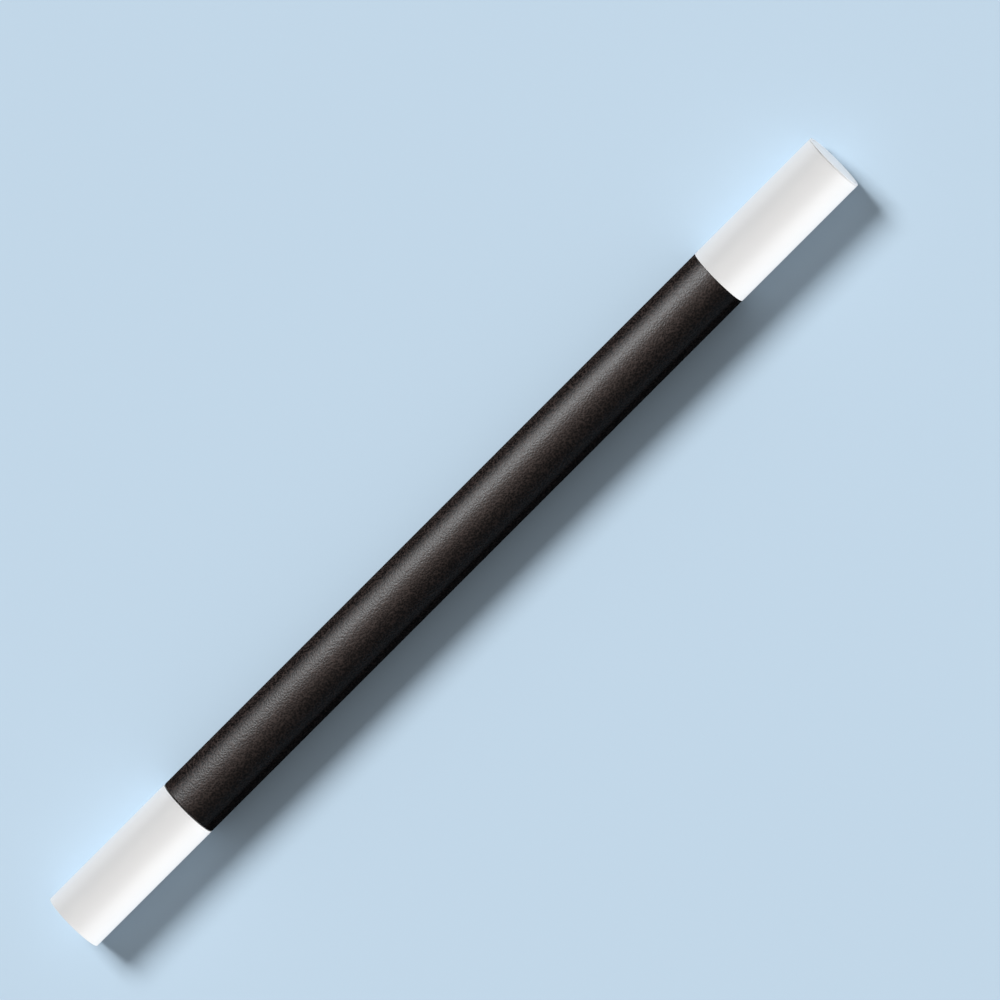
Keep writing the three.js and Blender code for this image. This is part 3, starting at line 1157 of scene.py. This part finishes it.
def farWall():
    bpy.ops.object.select_all(action="DESELECT")
    height = studio["wallHeight"]
    bpy.ops.mesh.primitive_cylinder_add(
        vertices=studio["wallSides"],
        radius=studio["wallRadius"],
        depth=height,
        location=(0, 0, height / 2),
        end_fill_type="NOTHING",
    )
    piece = bpy.context.object
    piece.name = "far_wall"
    finish = Finish("pale_wall", Roughness=1.0, Specular_IOR_Level=0.0)
    direct = finish.node("ShaderNodeLightPath", output="Is Camera Ray")
    glossy = finish.node("ShaderNodeLightPath", output="Is Glossy Ray")
    passed = finish.node("ShaderNodeLightPath", output="Is Transmission Ray")
    finish.set("Base_Color", (0, 0, 0))
    finish.set("Emission_Color", studio["wallTone"])
    finish.set("Emission_Strength", direct + glossy + passed)
    finish.material.cycles.emission_sampling = "NONE"  # it is seen, and is no lamp
    wear(piece, finish)
    piece.visible_shadow = False


# Soft lamps far away. A lamp leans from straight above, towards +Y or along the wand, and its
# spread is how wide it looks, all in degrees.

lampReach = {
    "floor": ("floor",),
    "sleeve": ("grained_sleeve",),
    "tips": ("muzzle_tip", "knob", "knob_cap", "plug"),
}
plainLight = (1, 1, 1)
coolLight = (0.95, 0.98, 1.0)
warmLight = (1.0, 0.985, 0.97)
rosyLight = (1.0, 0.72, 0.62)
lamps = {
    "floor_key": {"lights": "rest", "lean": 45, "spread": 20, "power": 3.9},
    "floor_fill": {"lights": "floor", "spread": 150, "power": 0.8},
    "sleeve_key": {"lights": "sleeve", "lean": 56.5, "spread": 18, "power": 4.6, "tint": coolLight},
    "sleeve_fill": {"lights": "sleeve", "lean": 18, "spread": 50, "power": 0.9, "tint": rosyLight},
    "sleeve_rim": {"lights": "sleeve", "lean": 88, "spread": 36, "power": 0.9, "tint": rosyLight},
    "tip_front": {"lights": "tips", "along": 75, "spread": 60, "power": 2.1},
    "tip_rear": {"lights": "tips", "along": -75, "spread": 60, "power": 2.1},
    "tip_right": {"lights": "tips", "lean": -58, "spread": 20, "power": 2.54, "tint": warmLight},
    "tip_left": {"lights": "tips", "lean": 85, "spread": 34, "power": 2.6, "tint": warmLight},
}
ambient = 0.05
lampHeight = 1.0  # in metres


def listed(name, pieces, state):
    group = bpy.data.collections.new(name)
    for piece in pieces:
        group.objects.link(bpy.data.objects[piece])
    for member in group.collection_objects:
        member.light_linking.link_state = state
    return group


def lightScene():
    world = bpy.data.worlds.new("studio")
    bpy.context.scene.world = world
    world.use_nodes = True
    backdrop = world.node_tree.nodes["Background"]
    backdrop.inputs["Color"].default_value = (1, 1, 1, 1)
    backdrop.inputs["Strength"].default_value = ambient
    groups = {}
    for name, pieces in lampReach.items():
        groups[name] = listed(name + "_reach", pieces, "INCLUDE")
    apart = (*lampReach["sleeve"], *lampReach["tips"])
    groups["rest"] = listed("rest_reach", apart, "EXCLUDE")
    for name, lamp in lamps.items():
        turn = (-math.radians(lamp.get("lean", 0)), math.radians(lamp.get("along", 0)), 0)
        bpy.ops.object.light_add(type="SUN", location=(0, 0, lampHeight), rotation=turn)
        sun = bpy.context.object
        sun.name = name
        sun.data.angle = math.radians(lamp["spread"])
        sun.data.energy = lamp["power"]
        sun.data.color = lamp.get("tint", plainLight)
        sun.light_linking.receiver_collection = groups[lamp["lights"]]


# Camera, as the photograph has it. The wand runs up to the right, and its muzzle leans a little
# towards the camera.

cameraLook = {
    "lens": 1000.0,
    "sensor": 36.0,
    "lean": 6.65,
    "framePixels": 1000,
    "wandPixels": 1076.1,
    "wandMiddle": (453.15, 542.85),
}


def aimCamera():
    look = cameraLook
    lean = math.radians(look["lean"])
    towards = Vector((math.sin(lean), 0, math.cos(lean)))
    alongWand = Vector((math.cos(lean), 0, -math.sin(lean)))
    acrossWand = Vector((0, 1, 0))
    right = (alongWand - acrossWand).normalized()
    up = (alongWand + acrossWand).normalized()
    metresPerPixel = (cadHigh.x - cadLow.x) * math.cos(lean) / look["wandPixels"]
    distance = look["framePixels"] * metresPerPixel * look["lens"] / look["sensor"]
    half = look["framePixels"] / 2
    shiftRight = (half - look["wandMiddle"][0]) * metresPerPixel
    shiftUp = (look["wandMiddle"][1] - half) * metresPerPixel
    place = (cadLow + cadHigh) / 2 + towards * distance + right * shiftRight + up * shiftUp
    bpy.ops.object.camera_add()
    camera = bpy.context.object
    camera.data.lens = look["lens"]
    camera.data.sensor_width = look["sensor"]
    turn = Matrix((right, up, towards)).transposed()
    camera.matrix_world = Matrix.Translation(place) @ turn.to_4x4()
    bpy.context.scene.camera = camera


paleFloor()
farWall()
lightScene()
aimCamera()
bpy.context.scene.view_settings.view_transform = "Standard"
print("floor, lamps and camera placed")
